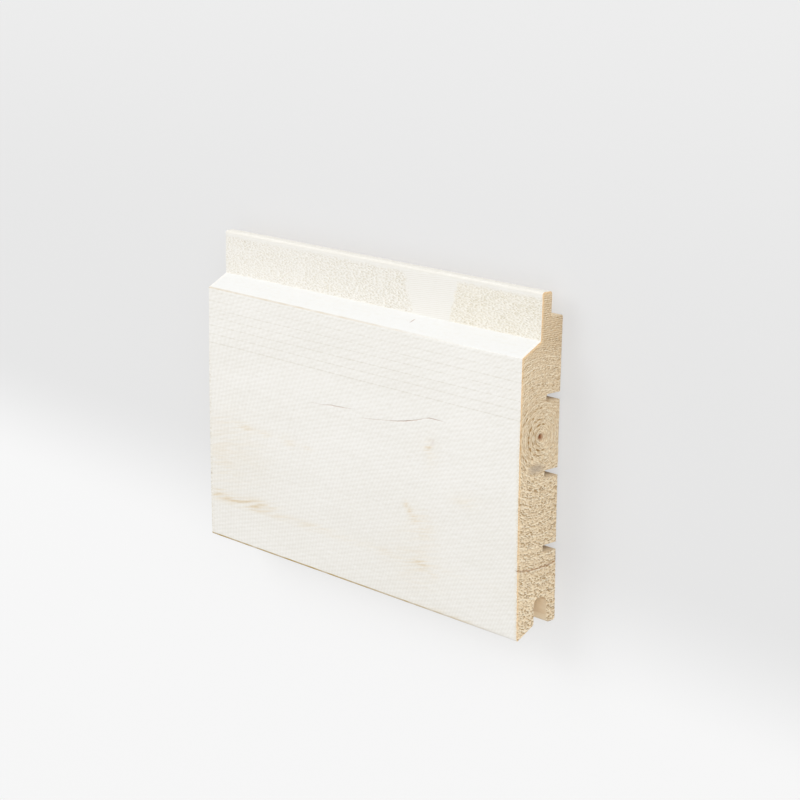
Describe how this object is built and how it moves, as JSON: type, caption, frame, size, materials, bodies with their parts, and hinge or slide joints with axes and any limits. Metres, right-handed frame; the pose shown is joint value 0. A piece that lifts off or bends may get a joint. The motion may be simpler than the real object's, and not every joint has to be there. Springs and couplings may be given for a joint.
{
  "type": "cladding board",
  "caption": "Flat timber weatherboard, primed white on its face, with a tongue above a sloped shoulder on one edge, an undercut groove on the other, and relief slots along the back.",
  "frame": {"origin": "middle of the length and of the overall width, on the plane of the back face that lies on the floor", "axes": "+X along the board, +Y across it towards the tongue, +Z from the back face to the weather face"},
  "size_m": [0.2, 0.145, 0.023],
  "materials": {
    "primed_softwood": "white primer on the fine-sawn weather face, slope and tongue front; raw softwood on the ends, back, groove and slots"
  },
  "bodies": {
    "root": {"cladding_board": "primed_softwood"}
  },
  "joints": []
}
